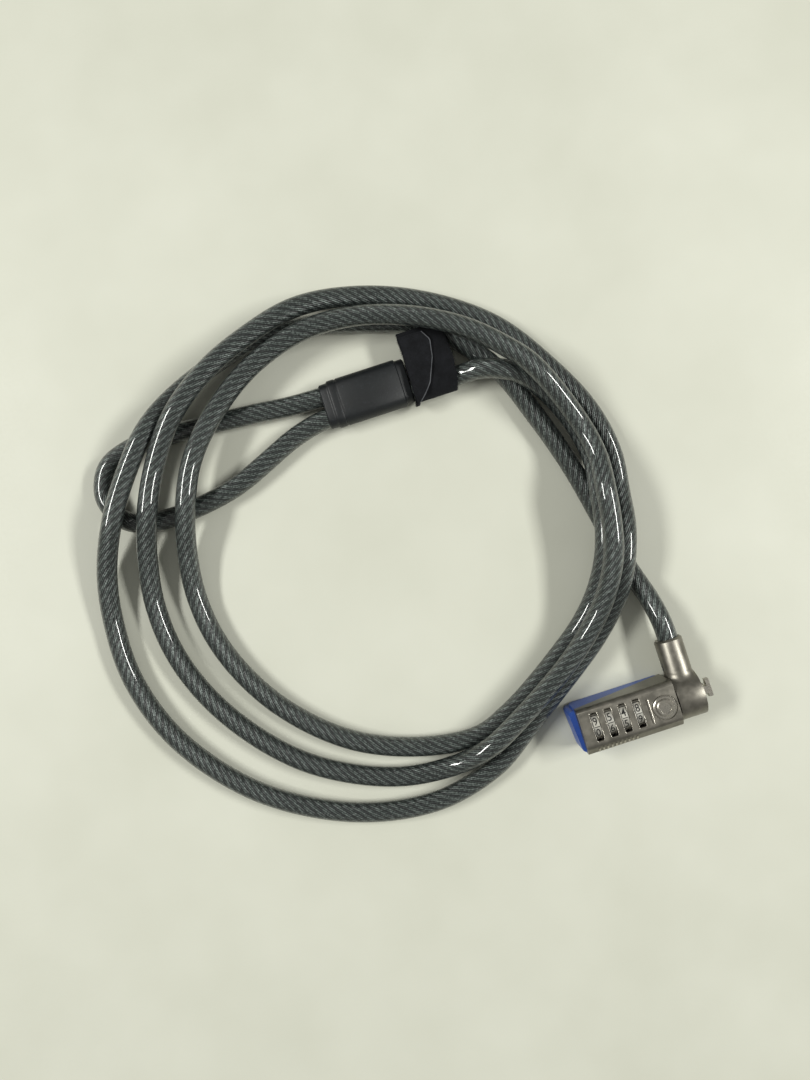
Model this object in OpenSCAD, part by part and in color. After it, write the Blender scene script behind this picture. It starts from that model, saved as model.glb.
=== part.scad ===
// Laptop cable lock: a combination lock body that swivels on the head of a coiled steel cable,
// whose far end is turned back into an eye.
// +X runs along the lock from its closed end to the T-bar, +Z is up, and the origin lies on the
// resting face of the base, under the middle of the metal shell.

/* [Lock body] */
// Length of the metal shell
body_l = 34; // [33.5:0.5:42]
// Width of the lock body
body_w = 16; // [15.5:0.5:20]
// Height from the resting face to the flat top
body_h = 16.4; // [16:0.2:20]
// Height of the base cover's thick foot
base_h = 4.5; // [3.4:0.1:5]
// Height of the base cover's side walls at the open end
base_open_h = 1.8; // [1.8:0.1:2.4]
// Thickness of the base cover's floor
base_floor = 1.5; // [1.4:0.1:1.8]
// How far the base cover's end stands out past the metal shell
base_lip = 1.9; // [1:0.1:3]
// Height of the base cover's end wall, and of its back wall there
base_end_h = 12.4; // [10.4:0.2:13]
// Side wall of the metal shell
shell_wall = 0.8; // [0.6:0.05:1]
// Top wall of the metal shell
shell_top = 1.5; // [1.2:0.1:2]
// End walls of the metal shell
shell_end = 1.5; // [1.2:0.1:2]
// Radius of the long top edge behind the dials
top_edge_r = 1.8; // [1:0.1:2.5]

/* [Dials] */
// Number of dials
dial_count = 4; // [3:1:4]
// Distance between dials
dial_pitch = 5; // [4.8:0.1:5.1]
// Distance from the shell's closed end to the first dial
dial_first = 5.2; // [5:0.1:5.6]
// Diameter of a dial wheel
dial_d = 12.6; // [12:0.2:12.6]
// Width of a dial wheel
dial_w = 2.4; // [2:0.1:2.6]
// How far the wheels stand out of the flat top
dial_proud = 0.2; // [0:0.05:0.4]
// Distance of the dial axle behind the middle of the body
dial_y = 0.8; // [0.5:0.1:1]
// Diameter of the dial axle
axle_d = 2.4; // [2:0.1:2.8]
// Diameter of a tumbler inside its wheel
tumbler_d = 7.2; // [6:0.2:8]
// Diameter of a tumbler's hub beside its wheel
hub_d = 5.2; // [4.4:0.2:5.6]
// Length of a tumbler's hub beside its wheel
hub_l = 1.8; // [1.2:0.1:2]
// Length of a dial window
window_l = 10; // [9.4:0.2:10.4]

/* [Button] */
// Diameter of the push button
button_d = 6; // [5:0.2:6.4]
// Travel of the push button
button_travel = 2.5; // [2:0.1:2.5]
// How far the button stands out of the flat top
button_proud = 0.9; // [0.6:0.1:2]
// Diameter of the collar round the button
bezel_d = 8.2; // [7.6:0.1:8.4]
// Distance from the shell's open end to the button
button_end = 4.8; // [4.7:0.1:5]

/* [Swivel head] */
// Outer diameter of the head's ring
head_d = 16; // [14.5:0.5:16.4]
// Width of the head's ring along the lock
head_w = 9.2; // [8.4:0.2:11]
// Diameter of the cable barrel
barrel_d = 9.6; // [9.4:0.2:12]
// Distance from the lock's axis to the mouth of the barrel
barrel_reach = 20.5; // [18:0.5:26]
// Outer diameter of the nose bush that the head turns on
bush_d = 8.4; // [7.6:0.1:8.8]

/* [T-bar] */
// Diameter of the T-bar's spindle
spindle_d = 4; // [3.6:0.1:4.2]
// Length of the T across a security slot
tbar_l = 6.2; // [5.8:0.1:6.6]
// Width of the T
tbar_w = 2.4; // [2:0.1:2.7]
// Thickness of the T's head
tbar_t = 1.4; // [1:0.1:1.8]
// Length of the T-bar's neck between the lugs
neck_l = 2; // [1.6:0.1:2.6]

/* [Cable] */
// Diameter over the cable's jacket
cable_d = 7; // [6:0.1:7]
// Length of the sleeve that closes the eye
sleeve_l = 25; // [20:1:30]
// Wall of the sleeve's plastic cover
cover_wall = 0.6; // [0.5:0.05:0.9]
// Wall of the metal ferrule under it
ferrule_wall = 0.55; // [0.4:0.05:0.7]
// Length of each end collar of the sleeve
collar_l = 3; // [2:0.5:3]
// Width of the keeper strap
strap_w = 17; // [12:0.5:17]
// Thickness of the keeper strap
strap_t = 1.2; // [0.8:0.1:1.2]

/* [Clearances] */
// Radial clearance of a turning or sliding fit
run_gap = 0.05; // [0.03:0.01:0.1]
// Gap between parts that pass each other
free_gap = 0.1; // [0.08:0.01:0.15]
// Radial clearance round the cable in a bore
cable_gap = 0.1; // [0.05:0.01:0.2]
// Gap between the lock body and the swivel head
head_gap = 0.5; // [0.3:0.05:0.8]

/* [Hidden] */
$fn = 64;
eps = 0.01;

x0 = -body_l / 2;             // closed end of the metal shell
flank_z = body_h - 2.4;       // foot of the sloping front flank
x1 = body_l / 2;              // its open end, where the head turns
axis_z = body_h / 2;          // the swivel axis
half_w = body_w / 2;
axle_z = body_h + dial_proud - dial_d / 2;
window_w = dial_w + 2 * free_gap;

// Frame inside the body
frame_t = 1.2;                // thickness of the two axle plates
rail_top = 3.2;               // top of the rail under the dials
rail_w = 11;
plate_x0 = x0 + 1.7;
plate_x1 = x0 + dial_first + (dial_count - 1) * dial_pitch + dial_w / 2 + hub_l + 0.4;
block_x0 = x1 - 8.4;          // block that holds the button and the crank
flange_t = 0.7;               // flange of the nose bush, behind the shell's end wall
block_x1 = x1 - shell_end - flange_t;
block_w = 12;
block_top = body_h - 3;
well_floor = body_h - 5;      // where the button spring stands
cavity_w = 6.8;
cavity_l = 4.6;
cavity_top = well_floor - 0.6;

// Screws in the base cover
screw_d = 1.8;
screw_head_d = 3.2;
screw_tip = rail_top - 0.1;
code_x = 2.4;
code_y = -3.4;
code_head_d = 4;
code_shank_d = 2;

// Button and crank
button_x = x1 - button_end;
button_top = body_h + button_proud;
cap_t = 1.7;
rod_d = 3;
crank_r = button_travel / sqrt(2);
crank_pin_d = 1.2;
crank_t = 1.2;
crank_d = 2 * crank_r + crank_pin_d + 0.1;
crank_x1 = block_x1 - 0.3;
crank_x0 = crank_x1 - crank_t;
blade_t = 1.4;
blade_x1 = crank_x0 - free_gap;
blade_z0 = 6.2;
blade_z1 = cavity_top - 0.2;
slot_z = axis_z + button_travel / 2;
slot_gap = 0.12;              // the crank pin's path isn't quite linear

// Nose bush, head and T-bar
head_x0 = x1 + head_gap;
head_x1 = head_x0 + head_w;
head_x = (head_x0 + head_x1) / 2;
circlip_t = 0.7;
circlip_d = 11;
groove_d = bush_d - 1;
pocket_d = circlip_d + 0.8;
pocket_l = 1.3;
boss_d = 5.8;
boss_l = 1;
neck_d = 2.6;
bush_end = head_x1 - free_gap;
boss_end = head_x1 + boss_l;
tbar_x0 = boss_end + neck_l;

// Cable end in the barrel
barrel_bore_d = cable_d + 2 * cable_gap;
crimp_y0 = 8.4;
crimp_l = 5.2;
barrel_pin_d = 2;
barrel_pin_y = crimp_y0 + crimp_l / 2;

// Fence bar under the dials
fence_travel = 1;
fence_w = 2;
fence_t = 1.3;
finger_w = 0.8;

// Sleeve and strap, along X
cable_r = cable_d / 2;
rest_z = cable_r + 0.05;      // middle of the cable where it lies on the surface
sleeve_lift = 1.2;
ferrule_r = cable_r + cable_gap + ferrule_wall;
cover_r = ferrule_r + cover_wall;
strand_gap = 7.6;             // between the two strands in the sleeve
sleeve_y = 134;
sleeve_x = -51;
sleeve_z = rest_z + sleeve_lift;
strap_x = sleeve_x + sleeve_l / 2 + collar_l + free_gap + strap_w / 2;
strap_y = sleeve_y - strand_gap / 2;
strap_hole_d = cable_d + 0.8;
strap_lift = (strap_hole_d - cable_d) / 2 + strap_t + 0.3;
strap_z = rest_z + strap_lift;
strap_end_y = 150;

// The cable's route: X, Y and how far its underside is above the surface
lead_points = [
    [head_x, crimp_y0 + crimp_l, axis_z - rest_z], [head_x, 26, axis_z - rest_z], [21, 35, 2.5], [18, 47, 0],
    [16, 57, 0], [10, 87, 0], [4, 107, 0], [-5, 129.5, 0], [-24, 150.5, 0.5], [-46, 159, 0], [-66, 164, 0]];
turn_1_points = [
    [-86, 164, 0], [-114, 154, 4], [-127, 145, 7.5], [-138, 133, 7.5], [-148, 118, 8], [-157, 101, 3],
    [-161, 82, 0], [-160, 61, 0], [-151, 37, 0], [-130, 12, 0], [-100, -5, 0], [-71, -10, 0],
    [-48, -4.8, 0], [-34, 4, 0]];
turn_2_points = [
    [-21.3, 12.7, 0], [-10.5, 20, 0], [-1, 27.2, 0.5], [6.5, 35, 3], [12.3, 43.5, 6.8], [16.8, 53, 8],
    [20.3, 62.5, 6.3], [23, 73, 1.5], [25, 88, 0], [22, 105, 0], [13, 124, 0], [-1, 144, 0],
    [-24, 160.5, 0], [-46, 168, 3], [-66, 169, 7.5], [-86, 164, 8.5], [-102, 156.5, 10.5],
    [-117, 145.5, 10.5], [-128, 132, 8], [-135, 118, 8.5], [-142, 101, 3], [-145, 83, 0], [-142, 62, 0],
    [-131, 39, 0], [-111, 17, 0], [-84, 3, 0], [-63, 0.5, 2]];
turn_3_points = [
    [-48, 4, 7.2], [-36.5, 9.5, 7.5], [-23.5, 17, 7.6], [-12.8, 24, 7.6], [-4, 31.2, 8],
    [2.5, 38.3, 9.8], [7.6, 46.2, 12.3], [11.6, 55.2, 14], [14, 65.5, 14.8], [15.5, 77, 15],
    [17, 88, 11.5], [15.5, 100, 9.5], [5.5, 124, 13.3], [-2, 134, 12], [-12, 143.5, 11.2],
    [-27, 152.5, 10.6], [-46, 159.5, 8], [-66, 160.5, 7.5], [-86, 154.5, 7], [-103, 143, 7.5],
    [-115, 130, 8], [-122, 116, 8], [-128, 99, 3], [-130, 81, 0], [-126, 61, 0], [-114, 39, 0],
    [-94, 20, 0], [-71, 10, 0]];
return_points = [
    [-50, 7.5, 0], [-37.5, 12, 0], [-25.6, 18.7, 0], [-14.9, 25.8, 0], [-5.8, 32.5, 0.5],
    [1, 39.5, 2.2], [6.1, 47, 4.6], [10.3, 55.8, 6.6], [13.2, 65.5, 7.3], [15, 77, 7], [17, 88, 3.5],
    [15.5, 100, 1.5], [12, 110, 1.2], [7, 118, 3.9], [1, 124, 6.6], [-5, 127.3, 7.4],
    [-11.5, 129.6, 5.3], [-18.5, strap_y, strap_lift + 0.2], [-27, strap_y, strap_lift],
    [-40, strap_y, sleeve_lift], [-65, strap_y, sleeve_lift]];
eye_points = [
    [-78, 128, 0], [-108, 116.5, 0], [-136.5, 114.5, 0], [-146, 118.5, 0], [-150, 128, 0],
    [-146, 137.5, 0], [-136.5, 141.5, 0], [-123, 142, 0], [-93, 140, 0], [-79, 138.5, 0],
    [-65, strap_y + strand_gap, sleeve_lift], [-40, strap_y + strand_gap, sleeve_lift]];
route = [for (p = concat(lead_points, turn_1_points, turn_2_points, turn_3_points, return_points, eye_points))
    [p[0], p[1], p[2] + rest_z]];

function dial_x(i) = x0 + dial_first + (i - 1) * dial_pitch;

// Points of an arc about c from angle a to angle b, both ends included
function arc(c, r, a, b, n = 6) =
    [for (i = [0 : n]) [c[0] + r * cos(a + (b - a) * i / n), c[1] + r * sin(a + (b - a) * i / n)]];

// A cylinder along X, from x on, about the given Y and Z
module rod_x(d, x, l, y = 0, z = axis_z) {
    translate([x, y, z]) rotate([0, 90, 0]) cylinder(d = d, h = l);
}

// A block from its lowest corner to its highest
module block(lo, hi) {
    translate(lo) cube(hi - lo);
}

// Outline of the shell across the lock
shell_outline = concat(
    [[-half_w, base_open_h], [-half_w, flank_z]],
    arc([-4.6, body_h - 2.4], 2.4, 135, 90, 4),
    arc([half_w - top_edge_r, body_h - top_edge_r], top_edge_r, 90, 0),
    [[half_w, base_open_h]]);

// The shell's outline pulled along X from x to x + l
module shell_bar(points, x, l) {
    translate([x, 0, 0]) rotate([90, 0, 90]) linear_extrude(l) polygon(points);
}

// Everything over the joint between the base cover and the shell, which slants down along the lock
module over_joint() {
    translate([0, half_w + 1, 0]) rotate([90, 0, 0]) linear_extrude(body_w + 2)
        polygon([[x0, base_end_h], [x1, base_open_h], [x1 + 1, base_open_h], [x1 + 1, body_h + 1],
            [x0, body_h + 1]]);
}

module face_shell() {
    color("silver") difference() {
        intersection() {
            shell_bar(shell_outline, x0, body_l);
            over_joint();
        }
        shell_bar(concat(
            [[-half_w + shell_wall, 0], [-half_w + shell_wall, flank_z - 0.4]],
            arc([-4.6, body_h - 2.6], 1.1, 135, 90, 4),
            [[half_w - shell_wall, body_h - shell_top], [half_w - shell_wall, 0]]),
            x0 + shell_end, body_l - 2 * shell_end);
        for (i = [1 : dial_count])
            block([dial_x(i) - window_w / 2, dial_y - window_l / 2, body_h - 4],
                [dial_x(i) + window_w / 2, dial_y + window_l / 2, body_h + 1]);
        translate([button_x, 0, body_h - 4]) cylinder(d = bezel_d, h = 5);
        translate([button_x, 0, body_h - 0.35]) cylinder(d = bezel_d + 0.5, h = 1);
        rod_x(bush_d, x1 - shell_end - 1, shell_end + 2);
    }
}

// Plain raised ribs along the sloping front flank and the ridge beside the button
module grip_ribs() {
    color("silver") {
        for (i = [0 : 9])
            translate([x0 + 4 + 1.5 * i, -half_w + 0.85, flank_z + 0.85]) rotate([45, 0, 0])
                block([-0.3, -0.9, -0.3], [0.3, 0.9, 0.25]);
        translate([button_x - bezel_d / 2 - 0.95, 0.2, body_h]) rotate([90, 0, 0])
            translate([0, 0, -4.2]) cylinder(d = 0.9, h = 8.4, $fn = 24);
    }
}

module base_cover() {
    color("royalblue") difference() {
        union() {
            hull() {
                for (s = [-1, 1]) {
                    translate([x1 - 2, s * (half_w - 2), 1.2]) cylinder(r = 2, h = base_h - 1.2, $fn = 32);
                    translate([x0 + 1.5, s * (half_w - 2), 1.2]) cylinder(r = 2, h = base_h - 1.2, $fn = 32);
                    translate([x1 - 2, s * (half_w - 2), 0]) cylinder(r = 1.2, h = 1, $fn = 32);
                    translate([x0 + 1.5, s * (half_w - 2), 0]) cylinder(r = 1.2, h = 1, $fn = 32);
                }
            }
            hull() {
                translate([x0 + 1.2 - base_lip, half_w - 2, 0.8]) cylinder(r = 1.4, h = base_end_h - 0.8, $fn = 32);
                translate([x0 + 2.1 - base_lip, -half_w + 2, 0.8])
                    cylinder(r = 1.4, h = base_end_h - 0.8, $fn = 32);
                translate([x0 + 3, 0, 0.8 + base_h / 2]) cube([2, body_w - 2.4, base_h], center = true);
            }
            block([x0 - eps, -half_w, base_h - 0.5], [x1, half_w, base_end_h]);
        }
        over_joint();
        block([x0 + 0.8, -half_w + 1.2, base_floor], [x1 - 0.9, half_w - 1.2, base_h]);
        block([x0 + shell_end, -half_w + shell_wall, base_h - eps], [x1 + 1, half_w - shell_wall, body_h]);
        case_screw_places() {
            translate([0, 0, -1]) cylinder(d = screw_d + 2 * free_gap, h = base_floor + 2);
            translate([0, 0, -eps]) cylinder(d1 = screw_head_d + 0.4, d2 = screw_d + 0.2, h = 1.1 + eps);
        }
        translate([code_x, code_y, -1]) cylinder(d = code_head_d + 2 * run_gap, h = base_floor - 0.4 + 1);
        translate([code_x, code_y, 0]) cylinder(d = code_shank_d + 2 * run_gap, h = base_floor + 1);
    }
}

module case_screw_places() {
    for (x = [x0 + 4.5, x1 - 5], y = [-4.4, 4.4])
        translate([x, y, 0]) children();
}

module case_screws() {
    color("dimgray") case_screw_places() difference() {
        union() {
            translate([0, 0, 0.15]) cylinder(d1 = screw_head_d, d2 = screw_d, h = 0.9);
            translate([0, 0, 1]) cylinder(d = screw_d, h = screw_tip - 1);
        }
        for (a = [0, 90])
            rotate(a) block([-0.9, -0.2, 0], [0.9, 0.2, 0.55]);
    }
}

module inner_frame() {
    color("gainsboro") difference() {
        union() {
            block([plate_x0, -rail_w / 2, base_floor], [block_x1, rail_w / 2, rail_top]);
            for (x = [plate_x0, plate_x1])
                block([x, -4.6, base_floor], [x + frame_t, 6.4, axle_z + 2.6]);
            block([block_x0, -block_w / 2, base_floor], [block_x1, block_w / 2, block_top]);
        }
        rod_x(axle_d, plate_x0 - 0.5, plate_x1 + frame_t - plate_x0 + 1, dial_y, axle_z);
        block([block_x1 - cavity_l, -cavity_w / 2, rail_top], [block_x1 + 1, cavity_w / 2, cavity_top]);
        translate([button_x, 0, well_floor]) cylinder(d = button_d + 0.6, h = 9);
        translate([button_x, 0, cavity_top - 1]) cylinder(d = rod_d + 2 * run_gap, h = 3);
        block([plate_x0 + frame_t, dial_y - fence_w / 2 - free_gap, 0],
            [block_x0 - 0.3, dial_y + fence_w / 2 + free_gap, rail_top + 1]);
        block([plate_x1 - 1, dial_y - fence_w / 2 - free_gap, 0],
            [block_x0 - 0.3, dial_y + fence_w / 2 + free_gap, rail_top + 1]);
        case_screw_places() cylinder(d = screw_d, h = screw_tip);
        translate([code_x, code_y, 0]) cylinder(d = code_shank_d + 2 * run_gap, h = rail_top + 1);
    }
}

module nose_bush() {
    color("silver") difference() {
        union() {
            rod_x(bush_d + 1.2, block_x1, flange_t);
            rod_x(bush_d, block_x1, bush_end - block_x1);
            rod_x(boss_d, bush_end, boss_end - bush_end);
            for (s = [-1, 1])
                translate([boss_end - eps, 0, axis_z + s * (neck_d / 2 + 0.15 + tbar_l / 2) / 2])
                    translate([(neck_l - 0.2) / 2, 0, 0])
                        cube([neck_l - 0.2, tbar_w + 0.2, tbar_l / 2 - neck_d / 2 - 0.15], center = true);
        }
        rod_x(spindle_d + 2 * run_gap, block_x1 - 1, 60);
        difference() {
            rod_x(bush_d + 1, head_x1 - pocket_l + free_gap, circlip_t + 0.04);
            rod_x(groove_d, head_x1 - pocket_l, 2);
        }
    }
}

module bush_circlip() {
    color("dimgray") difference() {
        rod_x(circlip_d, head_x1 - pocket_l + free_gap + 0.02, circlip_t);
        rod_x(groove_d, head_x1 - pocket_l, 2);
        block([head_x1 - pocket_l, -1.2, axis_z - circlip_d], [head_x1 + 1, 1.2, axis_z]);
    }
}

module dial_axle() {
    color("gray") rod_x(axle_d, plate_x0, plate_x1 + frame_t - plate_x0, dial_y, axle_z);
}

// Leaf plate beside the dials, with a rounded nub for each
module detent_spring() {
    nub_r = 0.9;
    plate_y = -half_w + shell_wall + 0.1;
    wheel_y = dial_y - dial_d / 2 - free_gap;
    color("goldenrod") {
        block([plate_x0, plate_y, axis_z - 3], [plate_x1 + 1, plate_y + 0.3, axis_z + 1.6]);
        for (i = [1 : dial_count])
            translate([dial_x(i) - 0.8, wheel_y - nub_r, axis_z + 0.6]) rotate([0, 90, 0]) intersection() {
                cylinder(r = nub_r, h = 1.6);
                block([-nub_r, plate_y + 0.3 - wheel_y + nub_r, 0], [nub_r, nub_r, 1.6]);
            }
    }
}

module button_bezel() {
    color("silver") translate([button_x, 0, block_top]) difference() {
        union() {
            cylinder(d = bezel_d, h = body_h - block_top);
            translate([0, 0, body_h - block_top - eps]) cylinder(d1 = bezel_d, d2 = bezel_d - 0.8, h = 0.3);
        }
        translate([0, 0, -1]) cylinder(d = button_d + 2 * run_gap, h = 9);
    }
}

// A wheel with ten finger flats between its digits
module dial_wheel(i) {
    color("silver") difference() {
        rod_x(dial_d, dial_x(i) - dial_w / 2, dial_w, dial_y, axle_z);
        rod_x(tumbler_d, dial_x(i) - dial_w, 2 * dial_w, dial_y, axle_z);
        for (k = [0 : 9])
            translate([dial_x(i), dial_y, axle_z]) rotate([36 * k, 0, 0])
                block([-dial_w, -0.14, dial_d / 2 - 0.15], [dial_w, 0.14, dial_d]);
    }
}

module tumbler(i) {
    color("goldenrod") difference() {
        union() {
            rod_x(tumbler_d, dial_x(i) - dial_w / 2, dial_w, dial_y, axle_z);
            rod_x(hub_d, dial_x(i), dial_w / 2 + hub_l, dial_y, axle_z);
        }
        rod_x(axle_d + 2 * run_gap, dial_x(i) - dial_w, 4 * dial_w, dial_y, axle_z);
        block([dial_x(i) + dial_w / 2, dial_y - 0.6, axle_z - hub_d],
            [dial_x(i) + dial_pitch, dial_y + 0.6, axle_z - hub_d / 2 + 0.7]);
    }
}

module dial_wheel_1() { dial_wheel(1); }
module dial_wheel_2() { dial_wheel(2); }
module dial_wheel_3() { dial_wheel(3); }
module dial_wheel_4() { dial_wheel(4); }
module tumbler_1() { tumbler(1); }
module tumbler_2() { tumbler(2); }
module tumbler_3() { tumbler(3); }
module tumbler_4() { tumbler(4); }

module push_button() {
    color("silver") translate([button_x, 0, button_top - cap_t]) difference() {
        union() {
            cylinder(d = button_d, h = cap_t - 0.3);
            translate([0, 0, cap_t - 0.3]) cylinder(d1 = button_d, d2 = button_d - 0.8, h = 0.3);
        }
        translate([0, 0, cap_t - 0.25]) cylinder(d = button_d - 2, h = 1);
    }
}

module button_stem() {
    color("gray") difference() {
        union() {
            translate([button_x, 0, blade_z1 - eps]) cylinder(d = rod_d, h = button_top - cap_t - blade_z1 + eps);
            block([blade_x1 - blade_t, -2.4, blade_z0], [blade_x1, 2.9, blade_z1]);
        }
        block([blade_x1, -rod_d, blade_z0], [blade_x1 + rod_d, rod_d, blade_z1 + button_travel + 0.2]);
        block([blade_x1 - 3, 0.3, slot_z - crank_pin_d / 2 - slot_gap],
            [blade_x1 + 1, 4, slot_z + crank_pin_d / 2 + slot_gap]);
    }
}

// Coil spring drawn as a stack of rings joined by a thin wall
module button_spring() {
    spring_r = rod_d / 2 + 0.75;
    wire = 0.5;
    turns = 4;
    lo = well_floor;
    hi = button_top - cap_t;
    color("gray") translate([button_x, 0, 0]) {
        for (k = [0 : turns])
            translate([0, 0, lo + wire / 2 + k * (hi - lo - wire) / turns])
                rotate_extrude() translate([spring_r, 0]) circle(d = wire, $fn = 16);
        difference() {
            translate([0, 0, lo + wire / 2]) cylinder(r = spring_r + 0.08, h = hi - lo - wire);
            translate([0, 0, lo]) cylinder(r = spring_r - 0.08, h = hi - lo);
        }
    }
}

module tbar_spindle() {
    color("silver") difference() {
        union() {
            rod_x(crank_d, crank_x0, crank_t);
            rod_x(spindle_d, crank_x1 - eps, boss_end - crank_x1);
            rod_x(neck_d, boss_end - 2 * eps, neck_l + 2 * eps);
            translate([tbar_x0, -tbar_l / 2, axis_z - tbar_w / 2]) cube([tbar_t, tbar_l, tbar_w]);
        }
        rod_x(crank_pin_d, crank_x0 - 1, 1 + 0.8, crank_r * cos(45), axis_z + crank_r * sin(45));
    }
}

module crank_pin() {
    color("gray") rod_x(crank_pin_d, blade_x1 - blade_t, blade_t + free_gap + 0.8,
        crank_r * cos(45), axis_z + crank_r * sin(45));
}

module fence_bar() {
    z0 = base_floor + 0.1;
    color("gray") {
        block([plate_x0 + frame_t + 0.4, dial_y - fence_w / 2, z0],
            [plate_x1 + frame_t + 0.4, dial_y + fence_w / 2, z0 + fence_t]);
        for (i = [1 : dial_count])
            block([dial_x(i) + dial_w / 2 + hub_l / 2 - finger_w / 2, dial_y - 0.5, z0 + fence_t - eps],
                [dial_x(i) + dial_w / 2 + hub_l / 2 + finger_w / 2, dial_y + 0.5,
                    axle_z - hub_d / 2 - fence_travel - 0.2]);
    }
}

module code_change_screw() {
    color("dimgray") difference() {
        union() {
            translate([code_x, code_y, 0.2]) cylinder(d = code_head_d, h = base_floor - 0.4 - 0.25);
            translate([code_x, code_y, 0.5]) cylinder(d = code_shank_d, h = rail_top - 0.5);
        }
        block([code_x - 1.7, code_y - 0.3, 0], [code_x + 1.7, code_y + 0.3, 0.65]);
    }
}

module swivel_head() {
    color("silver") difference() {
        union() {
            rod_x(head_d, head_x0, head_w);
            translate([head_x, 0, axis_z]) rotate([-90, 0, 0]) cylinder(d = barrel_d, h = barrel_reach - 0.6);
            translate([head_x, barrel_reach - 0.6 - eps, axis_z]) rotate([-90, 0, 0])
                cylinder(d1 = barrel_d, d2 = barrel_d - 1.2, h = 0.6 + eps);
        }
        block([x1 - barrel_d, -head_d, 0], [head_x0, half_w + 3, 2 * body_h]);
        rod_x(bush_d + 2 * run_gap, head_x0 - 1, head_w + 2);
        rod_x(pocket_d, head_x1 - pocket_l, pocket_l + 1);
        translate([head_x, crimp_y0, axis_z]) rotate([-90, 0, 0]) cylinder(d = barrel_bore_d, h = 40);
        rod_x(barrel_pin_d, head_x - barrel_d, 2 * barrel_d, barrel_pin_y);
    }
}

module cable_crimp() {
    color("gray") difference() {
        translate([head_x, crimp_y0, axis_z]) rotate([-90, 0, 0]) cylinder(d = barrel_bore_d - 0.1, h = crimp_l);
        rod_x(barrel_pin_d, head_x - barrel_d, 2 * barrel_d, barrel_pin_y);
    }
}

module barrel_pin() {
    color("dimgray") rod_x(barrel_pin_d, head_x - barrel_d / 2 + 0.3, barrel_d - 0.6, barrel_pin_y);
}

// Ring k of the cable: eight points square to the route at its own point
function unit(v) = v / norm(v);
function heading(k) =
    unit(route[min(k + 1, len(route) - 1)] - route[max(k - 1, 0)]);
function ring(k) =
    let (t = heading(k), side = unit(cross([0, 0, 1], t)), up = cross(t, side))
    [for (a = [22.5 : 45 : 359]) route[k] + cable_r * (side * cos(a) + up * sin(a))];

module cable() {
    sides = 8;
    n = len(route);
    points = [for (k = [0 : n - 1]) each ring(k)];
    walls = [for (k = [0 : n - 2], j = [0 : sides - 1])
        [k * sides + j, (k + 1) * sides + j, (k + 1) * sides + (j + 1) % sides, k * sides + (j + 1) % sides]];
    ends = [[for (j = [0 : sides - 1]) j], [for (j = [sides - 1 : -1 : 0]) (n - 1) * sides + j]];
    color("dimgray") polyhedron(points, concat(walls, ends));
}

// Oval bar along X round both strands in the sleeve
module oval(r, x, l) {
    rod_x(2 * r, x, l, sleeve_y - strand_gap / 2, sleeve_z);
    rod_x(2 * r, x, l, sleeve_y + strand_gap / 2, sleeve_z);
    block([x, sleeve_y - strand_gap / 2, sleeve_z - r + 0.06], [x + l, sleeve_y + strand_gap / 2, sleeve_z + r - 0.06]);
}

module strand_bores(x, l) {
    for (s = [-1, 1])
        rod_x(cable_d + 2 * cable_gap, x, l, sleeve_y + s * strand_gap / 2, sleeve_z);
}

module loop_ferrule() {
    color("lightgray") difference() {
        oval(ferrule_r, sleeve_x - sleeve_l / 2 + 1, sleeve_l - 2);
        strand_bores(sleeve_x - sleeve_l, 2 * sleeve_l);
    }
}

module loop_sleeve() {
    color("black") difference() {
        oval(cover_r, sleeve_x - sleeve_l / 2, sleeve_l);
        oval(ferrule_r, sleeve_x - sleeve_l / 2 + 1, sleeve_l - 2);
        strand_bores(sleeve_x - sleeve_l, 2 * sleeve_l);
    }
}

module sleeve_collar(x) {
    color("black") difference() {
        oval(ferrule_r, x, collar_l);
        strand_bores(x - 1, collar_l + 2);
    }
}

module sleeve_collar_inner() { sleeve_collar(sleeve_x + sleeve_l / 2); }
module sleeve_collar_outer() { sleeve_collar(sleeve_x - sleeve_l / 2 - collar_l); }

// Hook-and-loop band: a ring round the cable with its two ends laid flat over the next strand
module strap() {
    r = strap_hole_d / 2 + strap_t;
    color("black") difference() {
        union() {
            rod_x(2 * r, strap_x - strap_w / 2, strap_w, strap_y, strap_z);
            block([strap_x - strap_w / 2, strap_y, strap_z + r - strap_t],
                [strap_x + strap_w / 2, strap_end_y, strap_z + r]);
        }
        rod_x(strap_hole_d, strap_x - strap_w, 2 * strap_w, strap_y, strap_z);
    }
}

base_cover();
face_shell();
inner_frame();
nose_bush();
bush_circlip();
dial_axle();
detent_spring();
case_screws();
button_bezel();
grip_ribs();
dial_wheel_1();
dial_wheel_2();
dial_wheel_3();
dial_wheel_4();
tumbler_1();
tumbler_2();
tumbler_3();
tumbler_4();
push_button();
button_stem();
button_spring();
tbar_spindle();
crank_pin();
fence_bar();
code_change_screw();
swivel_head();
cable_crimp();
barrel_pin();
cable();
loop_ferrule();
loop_sleeve();
sleeve_collar_inner();
sleeve_collar_outer();
strap();
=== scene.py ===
# %% [markdown]
# # A laptop cable lock
# The object is a small combination lock on the end of a coiled steel cable. The precise parts come
# from the CAD frame. This notebook adds what a CAD model leaves out: the long smooth cable, the moulded
# sleeve, the hook-and-loop strap, the painted digits and a true finish for every surface.

# %% Load the frame
import math

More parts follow.
